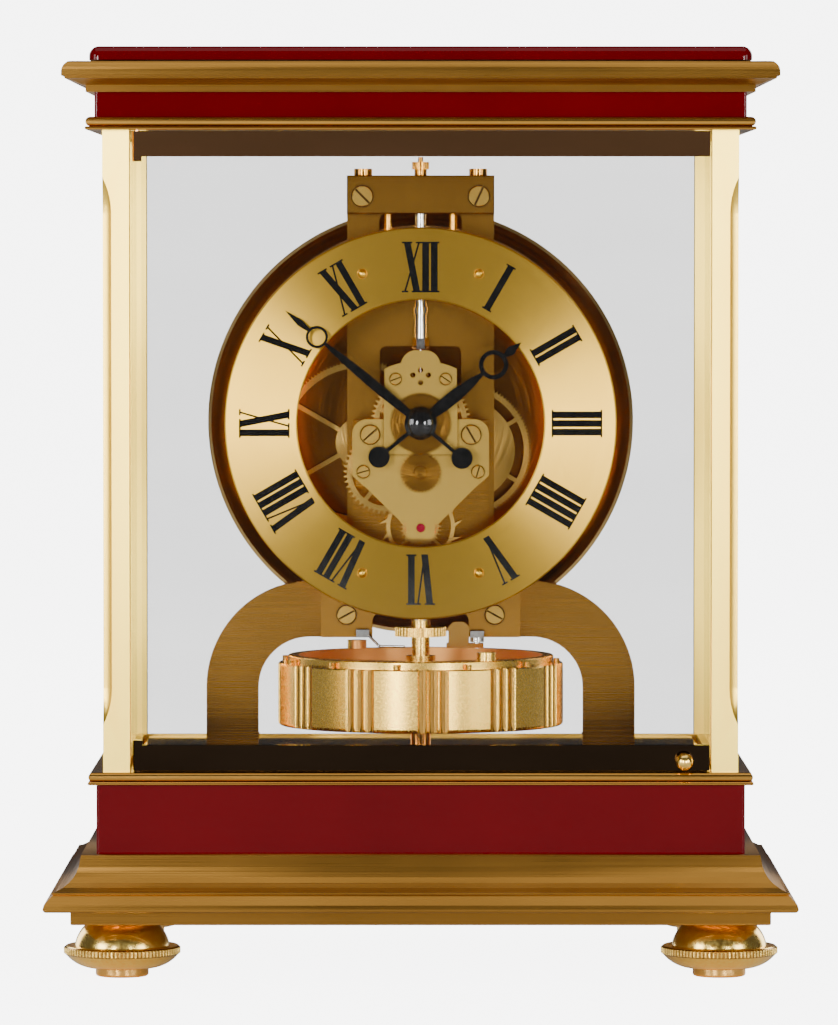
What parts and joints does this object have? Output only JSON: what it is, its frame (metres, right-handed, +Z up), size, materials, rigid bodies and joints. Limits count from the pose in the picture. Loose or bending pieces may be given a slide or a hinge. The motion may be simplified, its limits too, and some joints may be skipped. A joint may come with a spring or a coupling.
{
  "type": "torsion-pendulum mantel clock",
  "caption": "Mantel clock in a glazed gilt case with red lacquer bands: skeleton movement and ring dial over a slowly turning torsion balance, wound by air temperature through a bellows drum",
  "frame": {"origin": "on the table, under the middle of the case", "axes": "+X to the viewer's right of the dial, +Y to the back, +Z up"},
  "size_m": [0.2256, 0.172, 0.2796],
  "materials": {
    "gilt_moulding": "brushed gilt",
    "gilt_bead": "polished gilt",
    "gilt_post": "brushed gilt",
    "gilt_feet": "polished gilt, knurled rim",
    "foot_felt": "polished gilt",
    "red_lacquer": "high-gloss lacquer",
    "core_wood": "plain board",
    "glass": "clear, bevelled edges",
    "mirror_brass": "mirror polish",
    "floor_brass": "satin gilt",
    "frame_brass": "fine vertical grain",
    "plate_brass": "satin gilt",
    "wheel_brass": "circular grain",
    "steel": "polished steel",
    "lever_brass": "dull brown",
    "ruby": "ruby",
    "dial_gold": "circular satin grain",
    "black": "gloss black",
    "housing_gold": "polished gilt",
    "bellows_metal": "thin sheet",
    "balance_gold": "mirror polish",
    "level_glass": "tinted fluid under glass"
  },
  "bodies": {
    "case": {"base_plate": "gilt_moulding", "plinth_moulding": "gilt_moulding", "cornice_moulding": "gilt_moulding", "deck_plate": "gilt_bead", "top_frame": "gilt_bead", "corner_posts": "gilt_post", "glazing_strips": "gilt_post", "rear_feet": "gilt_feet", "lacquer_panels": "red_lacquer", "top_panel": "red_lacquer", "case_cores": "core_wood", "case_glasses": "glass", "door_hinge_pins": "mirror_brass", "floor_plate": "floor_brass", "arch_bracket": "frame_brass", "main_plate": "frame_brass", "head_block": "frame_brass", "plate_screws": "plate_brass", "front_plate": "plate_brass", "upper_bridges": "plate_brass", "train_plates": "plate_brass", "suspension": "steel", "pillars": "steel", "lock_fixings": "steel", "escape_jewel": "ruby", "dial_ring": "dial_gold", "dial_posts": "dial_gold", "dial_numerals": "black", "bellows_housing": "housing_gold", "bellows": "bellows_metal", "spirit_level": "level_glass"},
    "door": {"door_glass": "glass", "door_rails": "mirror_brass", "door_pivot_blocks": "mirror_brass", "door_knob": "mirror_brass"},
    "pad_left": {"foot_pad_left": "foot_felt"},
    "pad_right": {"foot_pad_right": "foot_felt"},
    "foot_left": {"foot_wheel_left": "gilt_feet"},
    "foot_right": {"foot_wheel_right": "gilt_feet"},
    "minute_works": {"centre_arbor": "wheel_brass", "minute_hand": "black", "hand_cap": "black"},
    "hour_works": {"hour_wheel": "wheel_brass", "hour_hand": "black"},
    "motion_works": {"minute_wheel": "wheel_brass"},
    "intermediate": {"intermediate_wheel": "wheel_brass"},
    "third": {"third_wheel": "wheel_brass"},
    "escape": {"escape_wheel": "wheel_brass"},
    "anchor": {"anchor": "steel"},
    "barrel": {"barrel": "wheel_brass", "mainspring": "steel"},
    "barrel_arbor": {"barrel_arbor": "wheel_brass"},
    "winding_wheel": {"winding_wheel": "wheel_brass"},
    "winding_pulley": {"winding_pulley": "wheel_brass"},
    "bellows_plate": {"bellows_plate": "bellows_metal"},
    "balance": {"balance_ring": "balance_gold", "balance_spokes": "balance_gold", "balance_stem": "balance_gold", "balance_screws": "balance_gold"},
    "lock_lever": {"lock_lever": "lever_brass"}
  },
  "joints": [
    {"name": "door_swing", "type": "hinge", "parent": "case", "child": "door", "pos_m": [-0.0851, -0.066, 0.158], "axis": [0, 0, -1], "range_deg": [0, 100]},
    {"name": "minute_turn", "type": "hinge", "parent": "case", "child": "minute_works", "pos_m": [0, 0, 0.1655], "axis": [0, 1, 0], "continuous": true},
    {"name": "hour_turn", "type": "hinge", "parent": "case", "child": "hour_works", "pos_m": [0, 0, 0.1655], "axis": [0, 1, 0], "continuous": true},
    {"name": "motion_turn", "type": "hinge", "parent": "case", "child": "motion_works", "pos_m": [0, 0, 0.1504], "axis": [0, 1, 0], "continuous": true},
    {"name": "intermediate_turn", "type": "hinge", "parent": "case", "child": "intermediate", "pos_m": [-0.01085, 0, 0.15019], "axis": [0, 1, 0], "continuous": true},
    {"name": "third_turn", "type": "hinge", "parent": "case", "child": "third", "pos_m": [0.00552, 0, 0.14628], "axis": [0, 1, 0], "continuous": true},
    {"name": "escape_turn", "type": "hinge", "parent": "case", "child": "escape", "pos_m": [0, 0, 0.1333], "axis": [0, 1, 0], "continuous": true},
    {"name": "barrel_turn", "type": "hinge", "parent": "case", "child": "barrel", "pos_m": [0.0133, 0, 0.1565], "axis": [0, 1, 0], "continuous": true},
    {"name": "winding_turn", "type": "hinge", "parent": "case", "child": "winding_wheel", "pos_m": [-0.0185, 0, 0.1587], "axis": [0, 1, 0], "continuous": true},
    {"name": "barrel_arbor_turn", "type": "hinge", "parent": "case", "child": "barrel_arbor", "pos_m": [0.0133, 0, 0.1565], "axis": [0, 1, 0], "continuous": true},
    {"name": "anchor_swing", "type": "hinge", "parent": "case", "child": "anchor", "pos_m": [0, 0, 0.1155], "axis": [0, 1, 0], "range_deg": [-4, 4]},
    {"name": "bellows_slide", "type": "slide", "parent": "case", "child": "bellows_plate", "axis": [0, -1, 0], "range_m": [0, 0.003], "stiffness_N_per_m": 500},
    {"name": "pulley_turn", "type": "hinge", "parent": "case", "child": "winding_pulley", "pos_m": [-0.0185, 0, 0.1587], "axis": [0, 1, 0], "range_deg": [0, 21.6]},
    {"name": "balance_turn", "type": "hinge", "parent": "case", "child": "balance", "pos_m": [0, 0, 0.0825], "axis": [0, 0, 1], "range_deg": [-270, 270], "stiffness_Nm_per_rad": 0.0000054},
    {"name": "lock_swing", "type": "hinge", "parent": "case", "child": "lock_lever", "pos_m": [0.0175, 0, 0.096], "axis": [0, 0, 1], "range_deg": [0, 30]},
    {"name": "pad_left_slide", "type": "slide", "parent": "case", "child": "pad_left", "axis": [0, 0, -1], "range_m": [0, 0.003]},
    {"name": "foot_left_turn", "type": "hinge", "parent": "pad_left", "child": "foot_left", "pos_m": [-0.09, -0.0632, 0.008], "axis": [0, 0, -1], "range_deg": [0, 1081]},
    {"name": "pad_right_slide", "type": "slide", "parent": "case", "child": "pad_right", "axis": [0, 0, -1], "range_m": [0, 0.003]},
    {"name": "foot_right_turn", "type": "hinge", "parent": "pad_right", "child": "foot_right", "pos_m": [0.09, -0.0632, 0.008], "axis": [0, 0, -1], "range_deg": [0, 1081]}
  ],
  "couplings": [
    {"joint": "motion_turn", "follows": "minute_turn", "ratio": -0.125},
    {"joint": "hour_turn", "follows": "minute_turn", "ratio": 0.083333},
    {"joint": "intermediate_turn", "follows": "minute_turn", "ratio": -0.5},
    {"joint": "barrel_turn", "follows": "minute_turn", "ratio": 0.1},
    {"joint": "third_turn", "follows": "minute_turn", "ratio": -3},
    {"joint": "escape_turn", "follows": "minute_turn", "ratio": 4},
    {"joint": "barrel_arbor_turn", "follows": "winding_turn", "ratio": -4},
    {"joint": "pulley_turn", "follows": "bellows_slide", "rad_per_m": 125},
    {"joint": "foot_left_turn", "follows": "pad_left_slide", "rad_per_m": 6283.2},
    {"joint": "foot_right_turn", "follows": "pad_right_slide", "rad_per_m": 6283.2}
  ]
}
